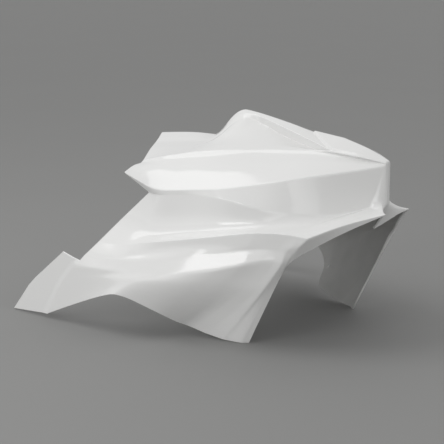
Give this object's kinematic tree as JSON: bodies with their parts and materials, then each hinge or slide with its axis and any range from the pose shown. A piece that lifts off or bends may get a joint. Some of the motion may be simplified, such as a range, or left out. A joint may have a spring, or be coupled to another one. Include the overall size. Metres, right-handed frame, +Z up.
{
  "type": "motorcycle headlight fairing",
  "caption": "Moulded nose fairing shell with blanked lamp facets, a raised centre hump, a pointed front lip, splayed legs beside the mouth and flat lap tabs at the rear.",
  "frame": {"origin": "middle of the bounding box in plan, on the floor under the legs and the lap tabs", "axes": "+X forward to the nose, +Y to the rider's left, +Z up"},
  "size_m": [0.558, 0.4672, 0.3141],
  "materials": {
    "gelcoat_white": "gloss gelcoat over glass-fibre laminate"
  },
  "bodies": {
    "root": {"fairing_shell": "gelcoat_white"}
  },
  "joints": []
}
